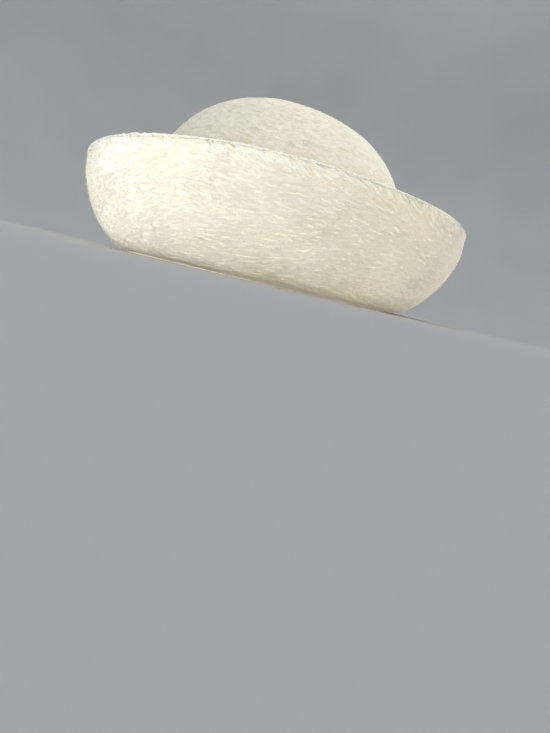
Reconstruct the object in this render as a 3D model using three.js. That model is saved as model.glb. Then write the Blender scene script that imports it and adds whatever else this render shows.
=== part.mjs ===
// A long-nap fur-felt hat: a round dome crown and a tall brim turned up all the way round.
// Units are millimetres. +Z is up, the wearer faces -Y, +X is the wearer's left-hand side.
// The hat rests on z = 0 on the flat foot of its brim, where the brim turns up from the head opening.
// Both pieces are shells of felt; their outer faces are the outer form of the nap.

import * as THREE from "three";

// ---- driving dimensions ------------------------------------------------------------------
// How square the oval is: 2 is an ellipse. It is fullest at the head and rounder away from it.
const HEAD_OVAL = 2.3;
const RIM_OVAL = 2.2;
const DOME_OVAL = 2.15;

const HEAD_HALF_WIDTH = 83.2; // inside of the collar, the opening that the head goes into
const HEAD_HALF_LENGTH = 95.0;

const COLLAR_WALL = 2.6; // the collar, sewn inside the crown's lower edge
const COLLAR_HEIGHT = 13.0;
const SEAM_GAP = 0.3; // between the collar and the crown, and under the crown's edge

const CROWN_WALL = 2.7;
const CROWN_HEIGHT = 117.2; // from the resting plane to the top of the dome
const CROWN_LEAN = -3.0; // how far forward the top of the dome sits
const CROWN_SHOULDER = 4.0; // higher keeps the side wall upright for longer
const CROWN_TIP = 2.0; // lower makes the top more pointed

const BRIM_WALL = 3.0;
const TURN_HALF_WIDTH = 92.0; // outer edge of the flat foot, where the brim leaves the ground
const TURN_HALF_LENGTH = 103.8;
const FLARE_SIDE = 33.5; // how far the rim stands out beyond that turn, at the sides
const FLARE_END = 38.5; // and at the front and back
const RIM_HEIGHT_SIDE = 53.8;
const RIM_HEIGHT_FRONT = 56.2;
const RIM_HEIGHT_BACK = 54.2;

// The brim's outer face, from the foot to the rim: share of the flare, and share of the height.
const BRIM_PROFILE = [
  { out: 0.0, up: 0.0 },
  { out: 0.262, up: 0.04 },
  { out: 0.482, up: 0.14 },
  { out: 0.7, up: 0.3 },
  { out: 0.888, up: 0.52 },
  { out: 1.014, up: 0.78 },
  { out: 1.0, up: 1.0 },
];

const AROUND = 64; // stations round the head oval
const BRIM_STEPS = 13; // rows up each face of the brim
const CROWN_STEPS = 16; // rows up each face of the crown

// ---- shared geometry ---------------------------------------------------------------------

// A point of the oval with half width a and half length b, in the direction phi.
function ovalPoint(phi, a, b, power) {
  const c = Math.cos(phi);
  const s = Math.sin(phi);
  const r =
    (Math.abs(c / a) ** power + Math.abs(s / b) ** power) ** (-1 / power);
  return [r * c, r * s];
}

// Height of the rim in the direction phi: lowest at the sides, higher at the front and back.
function rimHeight(phi) {
  const s = Math.sin(phi);
  const end = s < 0 ? RIM_HEIGHT_FRONT : RIM_HEIGHT_BACK;
  return RIM_HEIGHT_SIDE + (end - RIM_HEIGHT_SIDE) * s * s;
}

// Joins rows of AROUND points each into triangles. The rows run along the section and the
// points anticlockwise round the hat; a pole closes a row of one point.
function skin(rows, closed) {
  const positions = [];
  const starts = [];
  for (const row of rows) {
    starts.push({ at: positions.length / 3, count: row.length });
    for (const p of row) positions.push(...p);
  }
  const index = [];
  const last = closed ? rows.length : rows.length - 1;
  for (let i = 0; i < last; i++) {
    const low = starts[i];
    const high = starts[(i + 1) % rows.length];
    for (let k = 0; k < AROUND; k++) {
      const n = (k + 1) % AROUND;
      if (low.count > 1)
        index.push(low.at + k, low.at + n, high.at + (high.count > 1 ? k : 0));
      if (high.count > 1)
        index.push(
          low.at + (low.count > 1 ? n : 0),
          high.at + n,
          high.at + k,
        );
    }
  }
  const geometry = new THREE.BufferGeometry();
  geometry.setAttribute(
    "position",
    new THREE.Float32BufferAttribute(positions, 3),
  );
  geometry.setIndex(index);
  geometry.computeVertexNormals();
  return geometry;
}

// Points of a quarter or half round edge in the section plane, between two angles in degrees.
function roundEdge(centre, radius, from, to, steps) {
  const points = [];
  for (let i = 0; i <= steps; i++) {
    const angle = THREE.MathUtils.degToRad(from + ((to - from) * i) / steps);
    points.push([
      centre[0] + radius * Math.cos(angle),
      centre[1] + radius * Math.sin(angle),
    ]);
  }
  return points;
}

// ---- the brim ----------------------------------------------------------------------------
// Its section runs up the outer face, over the rim, down the inner face to the crown's edge,
// up and over the collar, and back along the flat foot.

const profile = new THREE.SplineCurve(
  BRIM_PROFILE.map((row) => new THREE.Vector2(row.out, row.up)),
);
const MEAN_FLARE = (FLARE_SIDE + FLARE_END) / 2;
const MEAN_HEIGHT = (RIM_HEIGHT_SIDE + RIM_HEIGHT_FRONT) / 2;

// Outer face and its inward normal at share t of the profile.
function brimStation(t) {
  const p = profile.getPoint(t);
  const tangent = profile.getTangent(t);
  const n = new THREE.Vector2(
    -tangent.y * MEAN_HEIGHT,
    tangent.x * MEAN_FLARE,
  ).normalize();
  return { out: p.x, up: p.y, n };
}

function brimSection() {
  // each entry: share of the flare, extra reach in mm, share of the height, extra height in mm
  const points = [];
  for (let i = 0; i <= BRIM_STEPS; i++) {
    const { out, up } = brimStation(i / BRIM_STEPS);
    points.push([out, 0, up, 0]);
  }
  const rim = brimStation(1).n;
  const half = BRIM_WALL / 2;
  const turn = Math.atan2(rim.y, rim.x);
  for (const step of [1, 2, 3]) {
    const angle = turn + Math.PI - (step * Math.PI) / 4;
    points.push([
      1,
      rim.x * half + half * Math.cos(angle),
      1,
      rim.y * half + half * Math.sin(angle),
    ]);
  }
  for (let i = BRIM_STEPS; i >= 0; i--) {
    const { out, up, n } = brimStation(i / BRIM_STEPS);
    points.push([out, n.x * BRIM_WALL, up, n.y * BRIM_WALL]);
  }
  // the collar, measured inward from the turn
  const inner = HEAD_HALF_WIDTH - TURN_HALF_WIDTH;
  const outer = inner + COLLAR_WALL;
  const ledge = brimStation(0).n.y * BRIM_WALL;
  const cap = COLLAR_WALL / 2;
  points.push([0, outer + 0.4, 0, ledge]);
  points.push([0, outer, 0, ledge + 0.4]);
  for (const [x, z] of roundEdge(
    [outer - cap, COLLAR_HEIGHT - cap],
    cap,
    0,
    180,
    4,
  ))
    points.push([0, x, 0, z]);
  for (const [x, z] of roundEdge([inner + 1.2, 1.2], 1.2, 180, 270, 3))
    points.push([0, x, 0, z]);
  return points;
}

function brimGeometry() {
  // The oval grows from the head opening to the rim, so the two half axes share every extra reach.
  const lengthExtra = TURN_HALF_LENGTH - TURN_HALF_WIDTH;
  const rows = brimSection().map(([out, reach, up, lift]) => {
    const row = [];
    for (let k = 0; k < AROUND; k++) {
      const phi = (2 * Math.PI * k) / AROUND;
      const [x, y] = ovalPoint(
        phi,
        TURN_HALF_WIDTH + FLARE_SIDE * out + reach,
        TURN_HALF_WIDTH + lengthExtra + FLARE_END * out + reach,
        HEAD_OVAL + (RIM_OVAL - HEAD_OVAL) * up,
      );
      row.push([x, y, rimHeight(phi) * up + lift]);
    }
    return row;
  });
  return skin(rows, true);
}

// ---- the crown ---------------------------------------------------------------------------

const CROWN_HALF_WIDTH =
  HEAD_HALF_WIDTH + COLLAR_WALL + SEAM_GAP + CROWN_WALL;
const CROWN_HALF_LENGTH =
  CROWN_HALF_WIDTH + (TURN_HALF_LENGTH - TURN_HALF_WIDTH);
const CROWN_EDGE = brimStation(0).n.y * BRIM_WALL + SEAM_GAP;

// Share of the base's size that is left at share h of the height.
const domeSize = (h) =>
  (1 - Math.min(1, h) ** CROWN_SHOULDER) ** (1 / CROWN_TIP);

// Stations spread evenly along the dome's outer face, from the edge to just short of the top.
function domeStations() {
  const fine = [];
  const N = 2000;
  const h0 = CROWN_EDGE / CROWN_HEIGHT;
  const mean = (CROWN_HALF_WIDTH + CROWN_HALF_LENGTH) / 2;
  let length = 0;
  for (let i = 0; i <= N; i++) {
    const h = 1 - (1 - h0) * (1 - i / N) ** 2;
    const r = mean * domeSize(h);
    const z = CROWN_HEIGHT * h;
    if (i) length += Math.hypot(r - fine[i - 1].r, z - fine[i - 1].z);
    fine.push({ r, z, length });
  }
  const stations = [];
  for (let s = 0; s < CROWN_STEPS; s++) {
    const want = (length * s) / CROWN_STEPS;
    const i = Math.max(
      1,
      fine.findIndex((f) => f.length >= want),
    );
    const a = fine[i - 1];
    const b = fine[i];
    const n = new THREE.Vector2(a.z - b.z, b.r - a.r).normalize();
    stations.push({ r: b.r - mean, z: s ? b.z : CROWN_EDGE, n });
  }
  return stations;
}

function crownGeometry() {
  const ring = (reach, z) => {
    const row = [];
    const h = z / CROWN_HEIGHT;
    const lean = CROWN_LEAN * h ** 2;
    const power = HEAD_OVAL + (DOME_OVAL - HEAD_OVAL) * h ** 2;
    for (let k = 0; k < AROUND; k++) {
      const phi = (2 * Math.PI * k) / AROUND;
      const [x, y] = ovalPoint(phi, reach[0], reach[1], power);
      row.push([x, y + lean, z]);
    }
    return row;
  };
  // both half axes shrink by the same share, and the wall is measured square to the face
  const share = (r) => {
    const mean = (CROWN_HALF_WIDTH + CROWN_HALF_LENGTH) / 2;
    return (mean + r) / mean;
  };
  const stations = domeStations();
  const rows = [];
  for (const { r, z } of stations)
    rows.push(
      ring([CROWN_HALF_WIDTH * share(r), CROWN_HALF_LENGTH * share(r)], z),
    );
  rows.push([[0, CROWN_LEAN, CROWN_HEIGHT]]);
  const inside = [];
  for (const { r, z, n } of stations) {
    // the inner normal points inward and down
    const dr = n.x * CROWN_WALL;
    const dz = n.y * CROWN_WALL;
    inside.push(
      ring(
        [
          CROWN_HALF_WIDTH * share(r) + dr,
          CROWN_HALF_LENGTH * share(r) + dr,
        ],
        z + dz,
      ),
    );
  }
  const innerTop = CROWN_HEIGHT - CROWN_WALL;
  rows.push([[0, CROWN_LEAN, innerTop]]);
  rows.push(...inside.reverse());
  return skin(rows, true);
}

// ---- the hat -----------------------------------------------------------------------------

const felt = (color) =>
  new THREE.MeshStandardMaterial({ color, roughness: 0.95, metalness: 0 });

const brim = new THREE.Mesh(brimGeometry(), felt("#eee6d0"));
brim.name = "brim";

const crown = new THREE.Mesh(crownGeometry(), felt("#e9e4cf"));
crown.name = "crown";

const group = new THREE.Group();
group.add(brim, crown);

export default group;
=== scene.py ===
# A long-nap fur-felt hat with a round crown and a tall brim turned up all round.
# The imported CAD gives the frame; here each CAD piece is replaced by its felt, with the nap grown on it.
# Units are metres in the scene. The helpers below work in millimetres and scale at the end.

import math

import bpy
import numpy as np
from mathutils import Matrix, Vector


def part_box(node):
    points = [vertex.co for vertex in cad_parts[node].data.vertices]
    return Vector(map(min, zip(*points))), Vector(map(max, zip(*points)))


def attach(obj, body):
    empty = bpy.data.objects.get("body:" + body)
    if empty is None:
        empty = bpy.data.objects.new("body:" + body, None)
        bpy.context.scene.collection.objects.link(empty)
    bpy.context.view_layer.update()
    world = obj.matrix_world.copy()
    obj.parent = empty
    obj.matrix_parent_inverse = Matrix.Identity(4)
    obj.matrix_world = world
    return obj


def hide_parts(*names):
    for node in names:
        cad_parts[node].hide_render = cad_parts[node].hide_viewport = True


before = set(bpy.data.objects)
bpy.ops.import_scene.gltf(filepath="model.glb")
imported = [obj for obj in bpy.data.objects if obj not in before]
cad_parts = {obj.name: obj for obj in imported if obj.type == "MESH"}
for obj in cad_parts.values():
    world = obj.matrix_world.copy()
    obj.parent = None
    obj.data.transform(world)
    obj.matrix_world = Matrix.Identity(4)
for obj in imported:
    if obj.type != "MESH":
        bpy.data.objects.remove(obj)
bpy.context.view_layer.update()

MM = 0.001
DEG = math.pi / 180

# ---- the CAD's driving dimensions, in mm ------------------------------------------------------
HEAD_OVAL, RIM_OVAL, DOME_OVAL = 2.3, 2.2, 2.15
HEAD_HALF_WIDTH = 83.2
COLLAR_WALL, COLLAR_HEIGHT, SEAM_GAP = 2.6, 13.0, 0.3
CROWN_WALL, CROWN_HEIGHT, CROWN_LEAN = 2.7, 117.2, -3.0
CROWN_SHOULDER, CROWN_TIP = 4.0, 2.0
BRIM_WALL = 3.0
TURN_HALF_WIDTH, TURN_HALF_LENGTH = 92.0, 103.8
FLARE_SIDE, FLARE_END = 33.5, 38.5
RIM_SIDE, RIM_FRONT, RIM_BACK = 53.8, 56.2, 54.2
BRIM_PROFILE = np.array(
    [
        (0.0, 0.0),
        (0.262, 0.04),
        (0.482, 0.14),
        (0.7, 0.3),
        (0.888, 0.52),
        (1.014, 0.78),
        (1.0, 1.0),
    ]
)
MEAN_FLARE = (FLARE_SIDE + FLARE_END) / 2
MEAN_HEIGHT = (RIM_SIDE + RIM_FRONT) / 2

# ---- how the felt and its nap are made ---------------------------------------------------------
BRIM_GROUND = 0.40  # how far the felt's ground lies under the outer form of the nap
CROWN_GROUND = 0.28
AROUND = 192  # columns of the felt shells
ROUND = 0.30  # how round each strand of nap is shaded

brim_lo, brim_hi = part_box("brim")
crown_lo, crown_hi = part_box("crown")
if (
    abs((brim_hi[0] - brim_lo[0]) / MM - 2 * (TURN_HALF_WIDTH + FLARE_SIDE)) > 3
    or abs(crown_hi[2] / MM - CROWN_HEIGHT) > 1
):
    raise RuntimeError("the packed CAD isn't the hat that this script dresses")


def smooth(x, a, b):
    t = np.clip((x - a) / (b - a), 0, 1)
    return t * t * (3 - 2 * t)


class Waves:
    """Smooth seeded noise in space, about unit variance: plane waves near one wavelength in mm."""

    def __init__(self, seed, wavelength, count=18):
        r = np.random.default_rng(seed)
        d = r.normal(size=(count, 3))
        d /= np.linalg.norm(d, axis=1)[:, None]
        self.k = d * (2 * np.pi / (wavelength * r.uniform(0.7, 1.5, count)))[:, None]
        self.phase = r.uniform(0, 2 * np.pi, count)
        self.scale = math.sqrt(2 / count)

    def __call__(self, p):
        return self.scale * np.sin(p @ self.k.T + self.phase).sum(-1)


def oval(phi, a, b, power):
    c, s = np.cos(phi), np.sin(phi)
    r = (np.abs(c / a) ** power + np.abs(s / b) ** power) ** (-1 / power)
    return r * c, r * s


def rim_height(phi):
    s = np.sin(phi)
    return RIM_SIDE + (np.where(s < 0, RIM_FRONT, RIM_BACK) - RIM_SIDE) * s * s


def catmull(t):
    """The brim's profile at share t, as the CAD's spline runs."""
    n = len(BRIM_PROFILE)
    f = np.clip(np.asarray(t, float), 0, 1) * (n - 1)
    i = np.minimum(f.astype(int), n - 2)
    w = (f - i)[:, None]
    p0 = BRIM_PROFILE[np.maximum(i - 1, 0)]
    p1 = BRIM_PROFILE[i]
    p2 = BRIM_PROFILE[i + 1]
    p3 = BRIM_PROFILE[np.minimum(i + 2, n - 1)]
    v0, v1 = (p2 - p0) * 0.5, (p3 - p1) * 0.5
    return (
        (2 * p1 - 2 * p2 + v0 + v1) * w**3
        + (-3 * p1 + 3 * p2 - 2 * v0 - v1) * w**2
        + v0 * w
        + p1
    )


def brim_stations(t):
    """Share of flare, share of height, and the inward normal of the section."""
    t = np.asarray(t, float)
    p = catmull(t)
    d = catmull(t + 1e-3) - catmull(t - 1e-3)
    n = np.stack([-d[:, 1] * MEAN_HEIGHT, d[:, 0] * MEAN_FLARE], 1)
    return p, n / np.linalg.norm(n, axis=1)[:, None]


def section_length(rows):
    r = np.asarray(rows)
    xz = np.stack(
        [MEAN_FLARE * r[:, 0] + r[:, 1], MEAN_HEIGHT * r[:, 2] + r[:, 3]], 1
    )
    step = np.linalg.norm(np.diff(xz, axis=0), axis=1)
    return np.concatenate([[0], np.cumsum(step)])


def brim_rows(inset, steps, rim_steps, whole):
    """Rows (share of flare, reach, share of height, lift) up the outer face, over the rim and down
    the inner face; whole adds the ledge, the collar and the flat foot."""
    rows = []
    ts = np.linspace(0, 1, steps + 1)
    p, n = brim_stations(ts)
    g = inset * smooth(ts, 0.0, 0.07)
    for (o, u), (nx, nz), gi in zip(p, n, g):
        rows.append((o, nx * gi, u, nz * gi))
    rim = n[-1]
    mid, half = (BRIM_WALL + inset) / 2, (BRIM_WALL - inset) / 2
    turn = math.atan2(rim[1], rim[0])
    for i in range(1, rim_steps):
        a = turn + math.pi - math.pi * i / rim_steps
        rows.append(
            (
                1.0,
                rim[0] * mid + half * math.cos(a),
                1.0,
                rim[1] * mid + half * math.sin(a),
            )
        )
    for (o, u), (nx, nz) in zip(p[::-1], n[::-1]):
        rows.append((o, nx * BRIM_WALL, u, nz * BRIM_WALL))
    if not whole:
        return np.array(rows)
    inner = HEAD_HALF_WIDTH - TURN_HALF_WIDTH
    outer = inner + COLLAR_WALL
    ledge = n[0][1] * BRIM_WALL
    cap = COLLAR_WALL / 2
    rows.append((0, outer + 0.9, 0, ledge - 0.02))
    rows.append((0, outer + 0.4, 0, ledge))
    rows.append((0, outer + 0.1, 0, ledge + 0.12))
    rows.append((0, outer, 0, ledge + 0.4))
    for z in np.linspace(ledge + 1.2, COLLAR_HEIGHT - cap - 0.6, 5):
        rows.append((0, outer, 0, z))
    for a in np.linspace(0, math.pi, 9):
        rows.append(
            (
                0,
                outer - cap + cap * math.cos(a),
                0,
                COLLAR_HEIGHT - cap + cap * math.sin(a),
            )
        )
    for z in np.linspace(COLLAR_HEIGHT - cap - 0.8, 2.0, 8):
        rows.append((0, inner, 0, z))
    for a in np.linspace(math.pi, 1.5 * math.pi, 6):
        rows.append(
            (0, inner + 1.2 + 1.2 * math.cos(a), 0, 1.2 + 1.2 * math.sin(a))
        )
    for x in (-6.0, -4.0, -2.0, -0.8):
        rows.append((0, x, 0, 0))
    return np.array(rows)


def brim_point(phi, out, reach, up, lift):
    x, y = oval(
        phi,
        TURN_HALF_WIDTH + FLARE_SIDE * out + reach,
        TURN_HALF_LENGTH + FLARE_END * out + reach,
        HEAD_OVAL + (RIM_OVAL - HEAD_OVAL) * up,
    )
    return np.stack([x, y, rim_height(phi) * up + lift], -1)


CROWN_A = HEAD_HALF_WIDTH + COLLAR_WALL + SEAM_GAP + CROWN_WALL
CROWN_B = CROWN_A + (TURN_HALF_LENGTH - TURN_HALF_WIDTH)
CROWN_EDGE = float(brim_stations([0.0])[1][0][1]) * BRIM_WALL + SEAM_GAP
CROWN_MEAN = (CROWN_A + CROWN_B) / 2


def crown_point(phi, share, reach, z):
    """A point of the crown: share of the base's size, and extra reach in mm, at height z."""
    h = np.clip(z / CROWN_HEIGHT, 0, 1)
    x, y = oval(
        phi,
        np.maximum(CROWN_A * share + reach, 1e-3),
        np.maximum(CROWN_B * share + reach, 1e-3),
        HEAD_OVAL + (DOME_OVAL - HEAD_OVAL) * h**2,
    )
    return np.stack([x, y + CROWN_LEAN * h**2, z + 0 * x], -1)


def crown_table(count):
    """Height, share and inward normal at even steps of arc from the edge to the top."""
    h0 = CROWN_EDGE / CROWN_HEIGHT
    i = np.linspace(0, 1, 6001)
    h = 1 - (1 - h0) * (1 - i) ** 2
    k = (1 - h**CROWN_SHOULDER) ** (1 / CROWN_TIP)
    r, z = CROWN_MEAN * k, CROWN_HEIGHT * h
    s = np.concatenate([[0], np.cumsum(np.hypot(np.diff(r), np.diff(z)))])
    at = np.linspace(0, s[-1], count)
    kk, zz = np.interp(at, s, k), np.interp(at, s, z)
    dr, dz = np.gradient(CROWN_MEAN * kk, at), np.gradient(zz, at)
    n = np.stack([-dz, dr], 1)
    n /= np.linalg.norm(n, axis=1)[:, None]
    n[-1] = (0, -1)
    return at, zz, kk, n


# slow unevenness of hand-blocked felt, shared by the ground and the nap on it
sway = Waves(11, 70)
dimple = Waves(12, 17)
pill = Waves(13, 6.5)


def unevenness(p):
    return 0.22 * sway(p) + 0.06 * dimple(p) + 0.03 * pill(p)


# ---- meshes ------------------------------------------------------------------------------------
def make_mesh(name, co, faces, uv, attributes=(), normals=None):
    """faces is (n, 3) or (n, 4); uv is one (u, v) per face corner; attributes are per point."""
    me = bpy.data.meshes.new(name)
    n, k = faces.shape
    me.vertices.add(len(co))
    me.vertices.foreach_set("co", (co * MM).astype(np.float32).ravel())
    me.loops.add(n * k)
    me.loops.foreach_set("vertex_index", faces.astype(np.int32).ravel())
    me.polygons.add(n)
    me.polygons.foreach_set("loop_start", np.arange(0, n * k, k, dtype=np.int32))
    me.update(calc_edges=True)
    layer = me.uv_layers.new(name="OFBake")
    layer.data.foreach_set("uv", uv.astype(np.float32).ravel())
    for key, values in attributes:
        a = me.attributes.new(key, "FLOAT", "POINT")
        a.data.foreach_set("value", values.astype(np.float32))
    me.polygons.foreach_set("use_smooth", np.full(n, True))
    me.validate()
    if normals is not None:
        me.normals_split_custom_set(normals.tolist())
    me.update()
    obj = bpy.data.objects.new(name, me)
    bpy.context.scene.collection.objects.link(obj)
    return obj


def ring_grid(rows, closed):
    """Quads between rows of AROUND points; the last row joins the first if closed."""
    R = rows if closed else rows - 1
    i, k = np.meshgrid(np.arange(R), np.arange(AROUND), indexing="ij")
    j, m = (i + 1) % rows, (k + 1) % AROUND
    faces = np.stack(
        [i * AROUND + k, i * AROUND + m, j * AROUND + m, j * AROUND + k], -1
    ).reshape(-1, 4)
    return faces, i.ravel(), k.ravel()


def grid_uv(i, k, v):
    """Corners of the quads: round the hat in u, along the section in v, each once."""
    u0, u1 = k / AROUND, (k + 1) / AROUND
    a, b = v[i], v[i + 1]
    return np.stack(
        [
            np.stack([u0, a], -1),
            np.stack([u1, a], -1),
            np.stack([u1, b], -1),
            np.stack([u0, b], -1),
        ],
        1,
    )


def outward(co, rows):
    """Unit normals of a grid of rows x AROUND points."""
    g = co.reshape(rows, AROUND, 3)
    du = np.roll(g, -1, 1) - np.roll(g, 1, 1)
    dv = np.gradient(g, axis=0)
    n = np.cross(du, dv)
    return (n / np.maximum(np.linalg.norm(n, axis=-1, keepdims=True), 1e-9)).reshape(
        -1, 3
    )


phi_ring = np.arange(AROUND) * 2 * np.pi / AROUND


def build_brim():
    rows = brim_rows(BRIM_GROUND, 40, 8, True)
    n = len(rows)
    P, O = np.meshgrid(phi_ring, rows[:, 0])
    _, A = np.meshgrid(phi_ring, rows[:, 1])
    _, U = np.meshgrid(phi_ring, rows[:, 2])
    _, L = np.meshgrid(phi_ring, rows[:, 3])
    co = brim_point(P, O, A, U, L).reshape(-1, 3)
    normal = outward(co, n)
    s = section_length(rows)
    # the flare moves as one wall; the foot and the collar stay true
    wall = smooth(rows[:, 2], 0.02, 0.25)
    face = np.repeat(wall, AROUND)
    side = np.ones(n)
    inner_start = 41 + 7
    side[inner_start:] = -1
    co = co + normal * (unevenness(co) * face * np.repeat(side, AROUND))[:, None]
    # the inner face is bare felt: a finer unevenness of its own
    bare = Waves(14, 4.2)(co) * 0.05
    bare[: inner_start * AROUND] = 0
    co = co + normal * (bare * (0.4 + 0.6 * face))[:, None]
    foot = np.repeat(rows[:, 2] <= 0, AROUND) & (np.repeat(rows[:, 3], AROUND) <= 1e-9)
    co[foot, 2] = 0
    co[:, 2] = np.maximum(co[:, 2], 0)
    faces, i, k = ring_grid(n, True)
    v = np.concatenate([s, [s[-1] + 0.8]])
    uv = grid_uv(i, k, v / v[-1])
    return make_mesh("brim_felt", co, faces, uv)


def build_crown():
    at, z, share, normal2 = crown_table(46)
    rows = []
    half = (CROWN_WALL - CROWN_GROUND) / 2
    for zz, kk, (nx, nz) in zip(z[:-1], share[:-1], normal2[:-1]):
        rows.append((kk, nx * CROWN_GROUND, zz + nz * CROWN_GROUND, 1))
    inside = []
    for zz, kk, (nx, nz) in zip(z[:-1], share[:-1], normal2[:-1]):
        inside.append((kk, nx * CROWN_WALL, zz + nz * CROWN_WALL, -1))
    outer_n = len(rows)
    # the lower edge is rounded under, between the two faces
    edge = []
    mid = -(CROWN_WALL + CROWN_GROUND) / 2
    for a in (0.75, 0.5, 0.25):
        ang = math.pi * a
        edge.append((1.0, mid - half * math.cos(ang), CROWN_EDGE + half * (1 - math.sin(ang)), 0))
    rows[0] = (1.0, -CROWN_GROUND, CROWN_EDGE + half, 1)
    inside[0] = (1.0, -CROWN_WALL, CROWN_EDGE + half, -1)
    rows = rows + [None] + inside[::-1] + edge
    pts, kinds = [], []
    for r in rows:
        if r is None:
            continue
        kk, reach, zz, kind = r
        pts.append(crown_point(phi_ring, kk, reach, np.full(AROUND, zz)))
        kinds.append(kind)
    n = len(pts)
    co = np.concatenate(pts)
    normal = np.empty_like(co)
    for a, b in ((0, outer_n), (outer_n, n)):
        normal[a * AROUND : b * AROUND] = outward(co[a * AROUND : b * AROUND], b - a)
    kind = np.repeat(np.array(kinds, float), AROUND)
    rise = smooth(co[:, 2], 14, 30)
    co = co + normal * (kind * rise * unevenness(co))[:, None]
    bare = Waves(15, 4.6)(co) * 0.05 * (kind < 0)
    co = co + normal * (bare * rise)[:, None]
    # two poles close the outer and inner faces
    top = co[(outer_n - 1) * AROUND : outer_n * AROUND].mean(0)
    low = co[outer_n * AROUND : (outer_n + 1) * AROUND].mean(0)
    top[2] = co[(outer_n - 1) * AROUND : outer_n * AROUND, 2].mean() + 0.06
    low[2] = co[outer_n * AROUND : (outer_n + 1) * AROUND, 2].mean() + 0.06
    pole_top, pole_low = len(co), len(co) + 1
    co = np.concatenate([co, [top], [low]])
    k = np.arange(AROUND)
    m = (k + 1) % AROUND
    quads, qi, qk = [], [], []
    for row in range(n):
        nxt = (row + 1) % n
        if row == outer_n - 1:
            continue
        quads.append(
            np.stack([row * AROUND + k, row * AROUND + m, nxt * AROUND + m, nxt * AROUND + k], -1)
        )
        qi.append(np.full(AROUND, row))
        qk.append(k)
    quads = np.concatenate(quads)
    qi, qk = np.concatenate(qi), np.concatenate(qk)
    v = np.linspace(0, 1, n + 3)[1:-1]
    uv_q = grid_uv(qi, qk, np.concatenate([v[: outer_n] * 1.0, v[outer_n:], [1.0]]))
    # triangles from the quads, so that the poles' fans fit in one mesh
    tri = np.concatenate([quads[:, [0, 1, 2]], quads[:, [0, 2, 3]]])
    uv_t = np.concatenate([uv_q[:, [0, 1, 2]], uv_q[:, [0, 2, 3]]])
    last, first = outer_n - 1, outer_n
    fan_top = np.stack([last * AROUND + k, last * AROUND + m, np.full(AROUND, pole_top)], -1)
    fan_low = np.stack([first * AROUND + m, first * AROUND + k, np.full(AROUND, pole_low)], -1)
    step = v[1] - v[0]
    u0, u1, um = k / AROUND, (k + 1) / AROUND, (k + 0.5) / AROUND
    a, b = v[last], v[first]
    c = (a + b) / 2
    uv_top = np.stack(
        [
            np.stack([u0, np.full(AROUND, a)], -1),
            np.stack([u1, np.full(AROUND, a)], -1),
            np.stack([um, np.full(AROUND, a + (c - a) * 0.95)], -1),
        ],
        1,
    )
    uv_low = np.stack(
        [
            np.stack([u1, np.full(AROUND, b)], -1),
            np.stack([u0, np.full(AROUND, b)], -1),
            np.stack([um, np.full(AROUND, c + (b - c) * 0.05)], -1),
        ],
        1,
    )
    tri = np.concatenate([tri, fan_top, fan_low])
    uv_t = np.concatenate([uv_t, uv_top, uv_low])
    return make_mesh("crown_felt", co, tri, uv_t)


# ---- nap ---------------------------------------------------------------------------------------
class Brim:
    """The brim's outer form by angle and arc length: up the outer face, over the rim, down the inner."""

    ground = BRIM_GROUND

    def __init__(self):
        self.rows = brim_rows(0.0, 260, 30, False)
        self.s = section_length(self.rows)
        self.face = float(self.s[260])
        self.rim_end = float(self.s[260 + 30])

    def raw(self, phi, s):
        o, a, u, l = (np.interp(s, self.s, self.rows[:, i]) for i in range(4))
        return brim_point(phi, o, a, u, l)

    def even(self, p, s):
        low = smooth(p[..., 2], 1.2, 14)
        way = np.interp(s, [self.face, self.rim_end], [1, -1])
        return unevenness(p) * low * way

    def frame(self, phi, s):
        """Point, unit vectors round and up the face, outward normal, and mm per radian."""
        e = 0.35
        p = self.raw(phi, s)
        a = self.raw(phi + 2e-3, s) - self.raw(phi - 2e-3, s)
        per = np.linalg.norm(a, axis=-1) / 4e-3
        t = a / np.linalg.norm(a, axis=-1, keepdims=True)
        b = self.raw(phi, np.minimum(s + e, self.s[-1])) - self.raw(
            phi, np.maximum(s - e, 0)
        )
        n = np.cross(t, b)
        n /= np.linalg.norm(n, axis=-1, keepdims=True)
        up = np.cross(n, t)
        return p + n * self.even(p, s)[..., None], t, up, n, per


class Crown:
    """The crown's outer form by angle and arc length from the lower edge to the pole."""

    ground = CROWN_GROUND

    def __init__(self):
        at, z, share, _ = crown_table(600)
        self.s, self.z, self.share = at, z, share
        self.face = float(at[-1])

    def raw(self, phi, s):
        s = np.clip(s, 0, self.face - 0.02)
        z = np.interp(s, self.s, self.z)
        # the share falls as the root of the height near the top, so it follows from z
        share = (1 - np.clip(z / CROWN_HEIGHT, 0, 1) ** CROWN_SHOULDER) ** (
            1 / CROWN_TIP
        )
        return crown_point(phi, share, 0.0, z)

    def even(self, p, s):
        return unevenness(p) * smooth(p[..., 2], 14, 30)

    def frame(self, phi, s):
        e = 0.35
        p = self.raw(phi, s)
        a = self.raw(phi + 2e-3, s) - self.raw(phi - 2e-3, s)
        per = np.linalg.norm(a, axis=-1) / 4e-3
        t = a / np.maximum(np.linalg.norm(a, axis=-1, keepdims=True), 1e-9)
        b = self.raw(phi, s + e) - self.raw(phi, s - e)
        n = np.cross(t, b)
        n /= np.maximum(np.linalg.norm(n, axis=-1, keepdims=True), 1e-9)
        up = np.cross(n, t)
        return p + n * self.even(p, s)[..., None], t, up, n, per


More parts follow.
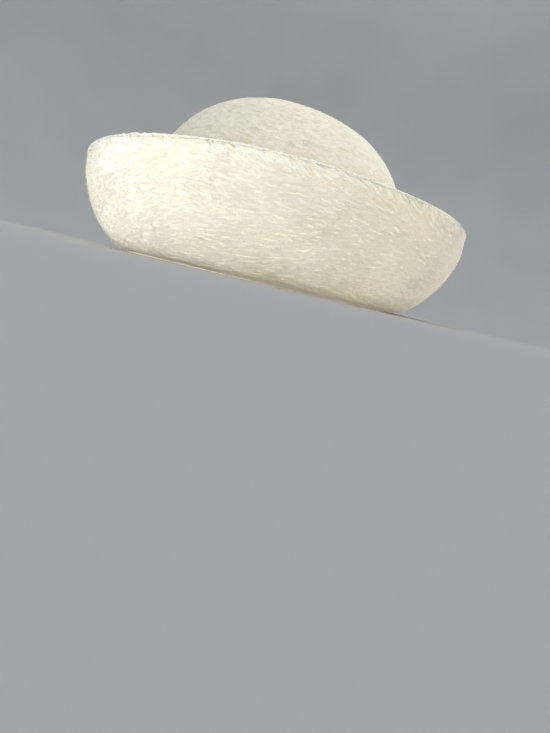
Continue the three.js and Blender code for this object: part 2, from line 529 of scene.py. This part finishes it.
def scatter(surface, s0, s1, ds, du, rng, keep=None):
    """Jittered rows of (phi, s) over a face, about one point for each ds x du mm."""
    phi, ss = [], []
    s = s0
    while s < s1:
        p = surface.raw(np.linspace(0, 2 * np.pi, 181), np.full(181, s))
        around = np.linalg.norm(np.diff(p, axis=0), axis=1).sum()
        n = max(6, int(round(around / du)))
        # the stations are spread evenly by length, not by angle
        lengths = np.concatenate(
            [[0], np.cumsum(np.linalg.norm(np.diff(p, axis=0), axis=1))]
        )
        at = (np.arange(n) + rng.uniform(0, 1) + rng.uniform(-0.5, 0.5, n)) / n
        a = np.interp((at % 1.0) * around, lengths, np.linspace(0, 2 * np.pi, 181))
        phi.append(a)
        ss.append(s + rng.uniform(-0.5, 0.5, n) * ds)
        s += ds
    phi, ss = np.concatenate(phi), np.clip(np.concatenate(ss), s0, s1)
    if keep is not None:
        m = rng.uniform(size=len(phi)) < keep(phi, ss)
        phi, ss = phi[m], ss[m]
    return phi, ss


def locks(
    surface,
    phi,
    s,
    theta,
    rng,
    per_lock,
    length,
    half_width,
    rise,
    tone_noise,
    hair=0.34,
    loose=0.10,
    loose_rise=0.9,
    s_cap=None,
    round_=ROUND,
    contrast=0.22,
):
    """Grows one small lock of nap at each (phi, s). Each strand is a slim closed spindle of four
    faces that starts in the felt and lies along the lock, its tip a little proud.
    length, half_width and rise hold one value for each lock. Returns corner points and tones."""
    n = len(phi)
    _, _, _, _, per = surface.frame(phi, s)
    rep = np.repeat(np.arange(n), per_lock)
    m = len(rep)
    L = length[rep]
    W = half_width[rep]
    th = theta[rep]
    bend = rng.normal(0, 0.006, n)[rep]
    lock_tone = (rng.normal(0, 1, n) * contrast)[rep]
    lock_rise = rise[rep] * rng.uniform(0.75, 1.25, n)[rep]
    # root and tip in the lock's own plane: u along it, v across it
    v0 = rng.uniform(-1, 1, m)
    u0 = rng.uniform(-0.55, 0.15, m) * L
    own = L * rng.uniform(0.75, 1.2, m)
    u1 = u0 + own
    v1 = v0 * rng.uniform(0.25, 0.6, m) + rng.normal(0, 0.12, m)
    h1 = lock_rise * (0.25 + 0.75 * (1 - np.clip(v0, -1, 1) ** 2))
    h1 = h1 * rng.uniform(0.65, 1.15, m)
    a = rng.uniform(size=m) < loose
    th = th + np.where(a, rng.normal(0, 14 * DEG, m), rng.normal(0, 2.5 * DEG, m))
    h1 = np.where(a, h1 + rng.uniform(0.1, 1.0, m) ** 1.5 * loose_rise, h1)
    v1 = np.where(a, v0 + rng.normal(0, 0.5, m), v1)
    root_u, root_v = u0, v0 * W + bend * u0**2
    tip_u, tip_v = u1, v1 * W + bend * u1**2
    ct, st = np.cos(th), np.sin(th)
    per = np.maximum(per, 4.0)[rep]
    pA = phi[rep] + (root_u * ct - root_v * st) / per
    sA = s[rep] + root_u * st + root_v * ct
    pB = phi[rep] + (tip_u * ct - tip_v * st) / per
    sB = s[rep] + tip_u * st + tip_v * ct
    if s_cap is not None:
        sA, sB = np.clip(sA, *s_cap), np.clip(sB, *s_cap)
    A, _, _, nA, _ = surface.frame(pA, sA)
    B, _, _, nB, _ = surface.frame(pB, sB)
    A = A - nA * (surface.ground + rng.uniform(-0.05, 0.12, m))[:, None]
    B = B + nB * (h1 - surface.ground)[:, None]
    return spindle(A, B, nA, nB, hair * rng.uniform(0.75, 1.3, m), rng, round_) + (
        np.clip(0.5 + lock_tone + rng.normal(0, 0.10, m) + tone_noise(A) * 0.12, 0, 1),
    )


def spindle(A, B, nA, nB, width, rng, round_):
    """Corners of slim closed strands from A to B, and the normal at each corner of their faces.
    The outer faces are shaded mostly as the hat's face under them, as combed fur looks."""
    m = len(A)
    normal = nA + nB
    t = B - A
    long = np.linalg.norm(t, axis=1, keepdims=True)
    t = t / np.maximum(long, 1e-6)
    n = normal - t * (normal * t).sum(1, keepdims=True)
    n /= np.maximum(np.linalg.norm(n, axis=1, keepdims=True), 1e-6)
    side = np.cross(n, t)
    roll = rng.normal(0, 0.12, m)[:, None]
    lat = side * np.cos(roll) + n * np.sin(roll)
    nn = np.cross(t, lat)
    f = rng.uniform(0.35, 0.6, m)[:, None]
    mid = A + (B - A) * f
    w = width[:, None] / 2
    C = mid + lat * w - nn * (w * 0.55)
    D = mid - lat * w - nn * (w * 0.55)
    up = n * 0.2 + nn * 0.1
    a, b, c, d = (
        # round a tight edge the hat's own normal can lie behind the strand's face
        v + nn * np.maximum(0, 0.7 - (v * nn).sum(1, keepdims=True))
        for v in (nA + up, nB + up, n + up + lat * round_, n + up - lat * round_)
    )
    # light comes through a strand, so its underside is shaded as if it turned outward and up
    out = mid * [1, 1, 0]
    out = out / np.maximum(np.linalg.norm(out, axis=1, keepdims=True), 1e-6)
    out = out * 0.9 + [0, 0, 0.6]
    under = out - nn * ((out * nn).sum(1, keepdims=True) + 0.3)
    left, right = under + lat * 0.2, under - lat * 0.2
    shade = []
    for v in (a, b, c, a, d, b, under, right, left, under, left, right):
        shade.append(v / np.linalg.norm(v, axis=1, keepdims=True))
    return A, B, C, D, np.stack(shade, 1)


def nap_mesh(name, A, B, C, D, shade, tone):
    n = len(A)
    co = np.stack([A, B, C, D], 1).reshape(-1, 3)
    co[:, 2] = np.maximum(co[:, 2], 0.2)
    base = (np.arange(n) * 4)[:, None]
    tri = np.stack(
        [
            base + [0, 1, 2],
            base + [0, 3, 1],
            base + [0, 2, 3],
            base + [1, 3, 2],
        ],
        1,
    ).reshape(-1, 3)
    # each strand has two small squares of its own in the map
    cols = int(math.ceil(math.sqrt(2 * n) / 2)) * 2
    cell = 1.0 / cols
    q = np.arange(n) * 2
    x, y = (q % cols) * cell, (q // cols) * cell
    pad = 0.06 * cell
    lo, hi = pad, cell - pad
    first = {0: (lo, lo), 1: (hi, hi), 2: (lo, hi), 3: (hi, lo)}
    second = {2: (cell + lo, lo), 3: (cell + hi, hi), 0: (cell + hi, lo), 1: (cell + lo, hi)}
    corners = []
    for face, where in (((0, 1, 2), first), ((0, 3, 1), first), ((0, 2, 3), second), ((1, 3, 2), second)):
        for c in face:
            corners.append(np.stack([x + where[c][0], y + where[c][1]], -1))
    uv = np.stack(corners, 1)
    along = np.tile(np.array([0.0, 1.0, 0.5, 0.5]), n)
    return make_mesh(
        name,
        co,
        tri,
        uv,
        (("tone", np.repeat(tone, 4)), ("along", along)),
        shade.reshape(-1, 3),
    )


def gather(parts):
    return [np.concatenate(x) for x in zip(*parts)]


def split_by_angle(parts, edges):
    """Sorts strands into sectors of the hat by the angle of their roots."""
    A = parts[0]
    angle = np.degrees(np.arctan2(A[:, 1], A[:, 0])) % 360
    out = []
    for a, b in zip(edges, edges[1:] + [edges[0] + 360]):
        m = ((angle - a) % 360) < ((b - a) % 360)
        out.append([x[m] for x in parts])
    return out


patch = Waves(21, 26)
lean_slow = Waves(22, 75)
lean_fine = Waves(23, 26)
lean_curl = Waves(24, 11)

brim = Brim()
crown = Crown()


def brim_lean(phi, s):
    """The nap's direction on the brim: an angle up from the way round the hat."""
    v = s / brim.face
    p = brim.raw(phi, s)
    turn = 5 - 9 * np.sin(phi - 250 * DEG) - 18 * (v - 0.45)
    turn = turn - 24 * smooth(v, 0.80, 1.0)
    turn = turn + 5 * lean_slow(p) + 3 * lean_fine(p) + 1.5 * lean_curl(p)
    return turn * DEG


def crown_lean(phi, s):
    v = s / crown.face
    p = crown.raw(phi, s)
    turn = 2 - 26 * v**2
    turn = turn + 7 * lean_slow(p) + 4 * lean_fine(p) + 2 * lean_curl(p)
    return turn * DEG


def build_brim_nap():
    rng = np.random.default_rng(101)
    phi, s = scatter(brim, 0.6, brim.face - 1.0, 0.64, 3.9, rng)
    n = len(phi)
    ruff = np.exp(-((((phi / DEG) - 352 + 180) % 360 - 180) / 16) ** 2)
    theta = brim_lean(phi, s) + rng.normal(0, 1, n) * (3.5 + 11 * ruff) * DEG
    length = rng.normal(6.0, 1.0, n).clip(3.8, 8.5) * (1 - 0.3 * ruff)
    half = rng.uniform(0.28, 0.6, n)
    # the nap is stroked flat on the wearer's right and ruffled toward the left
    rise = 0.44 + 0.18 * np.cos(phi - 330 * DEG)
    # The locks' tone spread is widest at the brim's right end and least at the left: painted shading relief over
    # tones that differ at random.
    parts = locks(
        brim, phi, s, theta, rng, 5, length, half, rise, patch,
        loose_rise=0.6, s_cap=(0.05, brim.rim_end),
        round_=0.12, contrast=0.12 + 0.12 * np.cos(phi - 345 * DEG),
    )
    return parts


def build_rim_nap():
    """Short fuzz over the rim's edge, thinning down the bare inner face."""
    rng = np.random.default_rng(102)
    thin = lambda phi, s: np.where(
        s < brim.rim_end,
        smooth(s, brim.face - 7.5, brim.face - 2.0),
        np.exp(-(s - brim.rim_end) / 3.2),
    )
    phi, s = scatter(brim, brim.face - 6.5, brim.rim_end + 10, 0.7, 1.9, rng, thin)
    n = len(phi)
    theta = rng.normal(-20, 13, n) * DEG
    length = rng.uniform(2.6, 4.6, n)
    half = rng.uniform(0.3, 0.6, n)
    rise = 0.3 * np.exp(-np.maximum(s - brim.rim_end, 0) / 5) + 0.2
    return locks(
        brim, phi, s, theta, rng, 3, length, half, rise, patch,
        hair=0.26, loose=0.15, loose_rise=0.6, round_=0.15,
    )


def build_crown_nap():
    rng = np.random.default_rng(103)
    keep = lambda phi, s: 0.6 + 0.4 * smooth(s, 25, 45)
    phi, s = scatter(crown, 1.0, crown.face - 1.5, 0.92, 3.5, rng, keep)
    n = len(phi)
    v = s / crown.face
    theta = crown_lean(phi, s) + rng.normal(0, 3.5, n) * DEG * (1 + 2.0 * smooth(v, 0.7, 1))
    length = rng.normal(5.0, 0.8, n).clip(3.2, 7.0) * (1 - 0.25 * smooth(v, 0.8, 1))
    half = rng.uniform(0.35, 0.7, n)
    rise = np.full(n, 0.10)
    return locks(
        crown, phi, s, theta, rng, 4, length, half, rise, patch,
        hair=0.40, loose=0.06, loose_rise=0.4, round_=0.22, contrast=0.22,
    )


# ---- materials ---------------------------------------------------------------------------------
def nodes_of(name):
    mat = bpy.data.materials.new(name)
    mat.use_nodes = True
    nt = mat.node_tree
    nt.nodes.clear()
    out = nt.nodes.new("ShaderNodeOutputMaterial")
    bsdf = nt.nodes.new("ShaderNodeBsdfPrincipled")
    nt.links.new(bsdf.outputs["BSDF"], out.inputs["Surface"])
    return mat, nt, bsdf


def noise(nt, coords, scale, detail=2.0, rough=0.5, stretch=None):
    source = coords
    if stretch is not None:
        mp = nt.nodes.new("ShaderNodeMapping")
        mp.inputs["Scale"].default_value = stretch[0]
        mp.inputs["Rotation"].default_value = stretch[1]
        nt.links.new(source, mp.inputs["Vector"])
        source = mp.outputs["Vector"]
    n = nt.nodes.new("ShaderNodeTexNoise")
    n.inputs["Scale"].default_value = scale
    n.inputs["Detail"].default_value = detail
    n.inputs["Roughness"].default_value = rough
    nt.links.new(source, n.inputs["Vector"])
    return n.outputs["Fac"]


def remap(nt, value, lo, hi, a, b):
    m = nt.nodes.new("ShaderNodeMapRange")
    m.inputs["From Min"].default_value = lo
    m.inputs["From Max"].default_value = hi
    m.inputs["To Min"].default_value = a
    m.inputs["To Max"].default_value = b
    nt.links.new(value, m.inputs["Value"])
    return m.outputs["Result"]


def mix(nt, factor, a, b):
    m = nt.nodes.new("ShaderNodeMix")
    m.data_type = "RGBA"
    m.blend_type = "MIX"
    nt.links.new(factor, m.inputs["Factor"])
    for value, socket in ((a, m.inputs[6]), (b, m.inputs[7])):
        if hasattr(value, "is_output"):
            nt.links.new(value, socket)
        else:
            socket.default_value = (*value, 1)
    return m.outputs[2]


def math_node(nt, op, a, b):
    m = nt.nodes.new("ShaderNodeMath")
    m.operation = op
    for i, value in enumerate((a, b)):
        if hasattr(value, "is_output"):
            nt.links.new(value, m.inputs[i])
        else:
            m.inputs[i].default_value = value
    return m.outputs[0]


def nap_material(name, dark, light, green, warm, through):
    """Silky fur: each strand has its own tone, with painted shade deepening it towards the root, and slow drifts
    of hue.
    """
    mat, nt, bsdf = nodes_of(name)
    coords = nt.nodes.new("ShaderNodeTexCoord").outputs["Object"]
    tone = nt.nodes.new("ShaderNodeAttribute")
    tone.attribute_name = "tone"
    along = nt.nodes.new("ShaderNodeAttribute")
    along.attribute_name = "along"
    base = mix(nt, tone.outputs["Fac"], dark, light)
    drift = remap(nt, noise(nt, coords, 34, 3, 0.6), 0.4, 0.66, 0, 0.75)
    base = mix(nt, drift, base, green)
    drift2 = remap(nt, noise(nt, coords, 17, 2, 0.5), 0.45, 0.7, 0, 0.8)
    base = mix(nt, drift2, base, warm)
    # painted shade: each strand darkens towards its root, deep in the nap where the strands shade one another
    root = remap(nt, along.outputs["Fac"], 0.0, 0.75, 0.18, 0.0)
    base = mix(nt, root, base, tuple(c * 0.80 for c in dark))
    nt.links.new(base, bsdf.inputs["Base Color"])
    rough = remap(nt, noise(nt, coords, 420, 2, 0.5), 0.3, 0.7, 0.58, 0.78)
    nt.links.new(rough, bsdf.inputs["Roughness"])
    bsdf.inputs["Specular IOR Level"].default_value = 0.20
    bsdf.inputs["Sheen Weight"].default_value = 0.35
    bsdf.inputs["Sheen Roughness"].default_value = 0.65
    bsdf.inputs["Sheen Tint"].default_value = (1.0, 0.98, 0.92, 1)
    # fur lets light through, so the far side of a lit strand isn't dark
    back = nt.nodes.new("ShaderNodeBsdfTranslucent")
    nt.links.new(base, back.inputs["Color"])
    both = nt.nodes.new("ShaderNodeMixShader")
    both.inputs[0].default_value = through
    nt.links.new(bsdf.outputs["BSDF"], both.inputs[1])
    nt.links.new(back.outputs["BSDF"], both.inputs[2])
    out = next(n for n in nt.nodes if n.type == "OUTPUT_MATERIAL")
    nt.links.new(both.outputs[0], out.inputs["Surface"])
    return mat


def felt_material(name, dark, light, fibre):
    """Bare pressed felt: matted fibres, faint mottling, a slightly rough surface."""
    mat, nt, bsdf = nodes_of(name)
    coords = nt.nodes.new("ShaderNodeTexCoord").outputs["Object"]
    broad = noise(nt, coords, 42, 4, 0.55)
    base = mix(nt, remap(nt, broad, 0.35, 0.68, 0, 1), dark, light)
    threads_a = noise(nt, coords, 900, 3, 0.6, ((1, 0.22, 1), (0.4, 0.2, 0.6)))
    threads_b = noise(nt, coords, 900, 3, 0.6, ((0.22, 1, 1), (-0.5, 0.3, -0.4)))
    threads_c = noise(nt, coords, 1100, 3, 0.6, ((1, 1, 0.22), (0.3, -0.6, 0.2)))
    threads = math_node(nt, "MAXIMUM", math_node(nt, "MAXIMUM", threads_a, threads_b), threads_c)
    base = mix(nt, remap(nt, threads, 0.5, 0.75, 0, 0.55), base, fibre)
    nt.links.new(base, bsdf.inputs["Base Color"])
    nt.links.new(remap(nt, threads, 0.45, 0.8, 0.96, 0.8), bsdf.inputs["Roughness"])
    fleck = noise(nt, coords, 260, 3, 0.55)
    height = math_node(nt, "ADD", math_node(nt, "MULTIPLY", threads, 0.7), math_node(nt, "MULTIPLY", fleck, 0.8))
    bump = nt.nodes.new("ShaderNodeBump")
    bump.inputs["Strength"].default_value = 0.55
    bump.inputs["Distance"].default_value = 0.0005
    nt.links.new(height, bump.inputs["Height"])
    nt.links.new(bump.outputs["Normal"], bsdf.inputs["Normal"])
    bsdf.inputs["Specular IOR Level"].default_value = 0.25
    bsdf.inputs["Sheen Weight"].default_value = 0.3
    bsdf.inputs["Sheen Roughness"].default_value = 0.5
    bsdf.inputs["Sheen Tint"].default_value = (1.0, 0.97, 0.9, 1)
    return mat


IVORY = (0.77, 0.71, 0.59), (0.95, 0.915, 0.82), (0.88, 0.86, 0.75), (0.91, 0.83, 0.69)
# The crown's nap is a greener, slightly darker copy of the brim's ivory: painted cool light and shade on the
# crown.
CREAM = (0.75, 0.74, 0.58), (0.90, 0.90, 0.77), (0.78, 0.85, 0.71), (0.86, 0.80, 0.58)
# The rim's fuzz gets a paler, cooler copy of the ivory: a painted highlight for the cool light that catches the
# rim's edge.
RIM_PALE_PAINTED_HIGHLIGHT = (0.84, 0.83, 0.76), (0.94, 0.94, 0.90), (0.88, 0.91, 0.86), (0.90, 0.88, 0.80)
brim_fur = nap_material("ivory_nap_brim", *IVORY, 0.12)
rim_fur_painted_highlight = nap_material("ivory_nap_rim_painted_highlight", *RIM_PALE_PAINTED_HIGHLIGHT, 0.35)
crown_fur = nap_material("ivory_nap_crown", *CREAM, 0.12)
brim_ground = felt_material("ivory_felt_brim", (0.74, 0.68, 0.55), (0.84, 0.80, 0.68), (0.90, 0.87, 0.78))
crown_ground = felt_material("ivory_felt_crown", (0.76, 0.73, 0.61), (0.86, 0.83, 0.72), (0.90, 0.88, 0.78))


# ---- camera, first, then the pieces ------------------------------------------------------------
scene = bpy.context.scene
cam_data = bpy.data.cameras.new("camera")
cam = bpy.data.objects.new("camera", cam_data)
scene.collection.objects.link(cam)
cam_data.sensor_width = 36.0
cam_data.lens = 21.163
cam_data.clip_start, cam_data.clip_end = 0.001, 30
right = Vector((0.897627, -0.378440, 0.225939))
ahead = Vector((0.420999, 0.887925, -0.185333))
above = Vector((-0.130480, 0.261480, 0.956349))
pose = Matrix((right, above, -ahead)).transposed().to_4x4()
pose.translation = Vector((-0.116814, -0.318510, 0.0020))
cam.matrix_world = pose
scene.camera = cam

brim_felt = build_brim()
brim_felt.data.materials.append(brim_ground)
crown_felt = build_crown()
crown_felt.data.materials.append(crown_ground)

naps = []
for name, part in zip(
    ("brim_nap_right", "brim_nap_left", "brim_nap_front"),
    split_by_angle(build_brim_nap(), [330, 90, 210]),
):
    naps.append((nap_mesh(name, *part), brim_fur, "brim"))
naps.append((nap_mesh("rim_nap", *build_rim_nap()), rim_fur_painted_highlight, "brim"))
for name, part in zip(
    ("crown_nap_front", "crown_nap_back"), split_by_angle(build_crown_nap(), [180, 360])
):
    naps.append((nap_mesh(name, *part), crown_fur, "crown"))

for piece, slot in ((brim_felt, "brim_felt"), (crown_felt, "crown_felt")):
    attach(piece, "root")
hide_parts("brim")
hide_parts("crown")
for piece, material, kind in naps:
    piece.data.materials.append(material)
    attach(piece, "root")


# ---- the studio --------------------------------------------------------------------------------
def build_sweep():
    """A plain pale floor that turns up all round into its own wall, so no edge shows."""
    turn_at, turn, top = 1.05, 0.95, 1.9
    prof = [(r, 0.0) for r in (0.02, 0.15, 0.3, 0.45, 0.6, 0.75, 0.9, turn_at)]
    for i in range(1, 25):
        a = math.pi / 2 * i / 24
        prof.append((turn_at + turn * math.sin(a), turn * (1 - math.cos(a))))
    prof += [(turn_at + turn, top)]
    seg = 96
    co = [(0.0, 0.0, 0.0)]
    for r, z in prof:
        for k in range(seg):
            a = 2 * math.pi * k / seg
            co.append((r * math.cos(a), r * math.sin(a), z))
    faces = [(0, 1 + k, 1 + (k + 1) % seg) for k in range(seg)]
    for j in range(len(prof) - 1):
        for k in range(seg):
            a, b = 1 + j * seg, 1 + (j + 1) * seg
            m = (k + 1) % seg
            faces.append((a + k, b + k, b + m, a + m))
    me = bpy.data.meshes.new("studio_floor")
    me.from_pydata(co, [], faces)
    me.polygons.foreach_set("use_smooth", np.full(len(me.polygons), True))
    me.update()
    obj = bpy.data.objects.new("studio_floor", me)
    scene.collection.objects.link(obj)
    mat, nt, bsdf = nodes_of("studio_paper")
    coords = nt.nodes.new("ShaderNodeTexCoord").outputs["Object"]
    base = mix(
        nt, remap(nt, noise(nt, coords, 3, 2, 0.5), 0.35, 0.65, 0, 1), (0.535, 0.535, 0.535), (0.56, 0.56, 0.56)
    )
    nt.links.new(base, bsdf.inputs["Base Color"])
    bsdf.inputs["Roughness"].default_value = 0.95
    bsdf.inputs["Specular IOR Level"].default_value = 0.1
    me.materials.append(mat)
    return obj


build_sweep()


def soft_light(name, at, aim, size, power, colour):
    data = bpy.data.lights.new(name, "AREA")
    data.shape = "RECTANGLE"
    data.size, data.size_y = size
    data.energy = power
    data.color = colour
    obj = bpy.data.objects.new(name, data)
    scene.collection.objects.link(obj)
    obj.location = at
    obj.rotation_mode = "QUATERNION"
    obj.rotation_quaternion = (Vector(aim) - Vector(at)).to_track_quat("-Z", "Y")
    obj.visible_camera = False
    return obj


def shine_on(light, lit, shading):
    """Lets a lamp light some pieces only, as a flag in the studio would, and be shaded by some."""
    for part, pieces in (("lit", lit), ("shading", shading)):
        group = bpy.data.collections.new(light.name + "_" + part)
        for p in pieces:
            group.objects.link(p)
        if part == "lit":
            light.light_linking.receiver_collection = group
        else:
            light.light_linking.blocker_collection = group


# The photographed light comes from as low as the hat and lower, because there the hat is worn high.
# So these lamps pass the floor by, and the air alone lights it.
centre = (0.0, 0.0, 0.05)
COOL, CLEAR, WARM = (0.88, 0.98, 1.0), (0.95, 0.98, 1.0), (1.0, 0.96, 0.86)
key = soft_light("key_left", (-0.82, -0.20, 0.04), centre, (0.6, 0.5), 4.3, CLEAR)
edge = soft_light("edge_left", (-0.82, 0.22, 0.10), centre, (0.5, 0.5), 5.6, COOL)
far_edge = soft_light("edge_right", (0.86, 0.22, 0.16), centre, (0.5, 0.5), 2.7, COOL)
right_back = soft_light("back_right", (0.78, 0.30, 0.75), centre, (0.7, 0.7), 5.8, (0.90, 1.0, 0.95))
left_high = soft_light("high_left", (-0.90, 0.0, 0.50), centre, (0.7, 0.5), 2.0, CLEAR)
fill = soft_light("front_fill", (0.15, -1.05, 0.15), centre, (0.9, 0.4), 5.0, WARM)
brim_fill = soft_light("front_low", (-0.20, -1.0, 0.02), centre, (0.7, 0.4), 2.2, WARM)
bounce = soft_light("low_bounce", (-0.30, -0.50, -0.45), centre, (1.0, 0.6), 3.4, WARM)
top = soft_light("top_soft", (-0.25, -0.35, 1.05), centre, (1.1, 1.1), 0.8, COOL)
hat = [brim_felt, crown_felt] + [p for p, _, _ in naps]
brim_only = [brim_felt] + [p for p, _, kind in naps if kind == "brim"]
upper = [crown_felt] + [p for p, _, kind in naps if kind == "crown" or p.name == "rim_nap"]
for lamp in (key, edge, far_edge, brim_fill):
    shine_on(lamp, brim_only, hat)
for lamp in (right_back, left_high):
    shine_on(lamp, upper, hat)
edging = soft_light("rim_glow", (-0.15, -0.75, 0.75), centre, (0.9, 0.5), 4.8, COOL)
shine_on(edging, [p for p in upper if p.name == "rim_nap"], hat)
for lamp in (fill, bounce, top):
    shine_on(lamp, hat, hat)

world = bpy.data.worlds.new("studio_air")
scene.world = world
world.use_nodes = True
sky = world.node_tree.nodes.get("Background") or world.node_tree.nodes.new("ShaderNodeBackground")
sky.inputs["Color"].default_value = (0.96, 0.97, 1.0, 1)
sky.inputs["Strength"].default_value = 1.05

scene.view_settings.view_transform = "Standard"

# ---- a last update of the scene ----------------------------------------------------------------
bpy.context.view_layer.update()
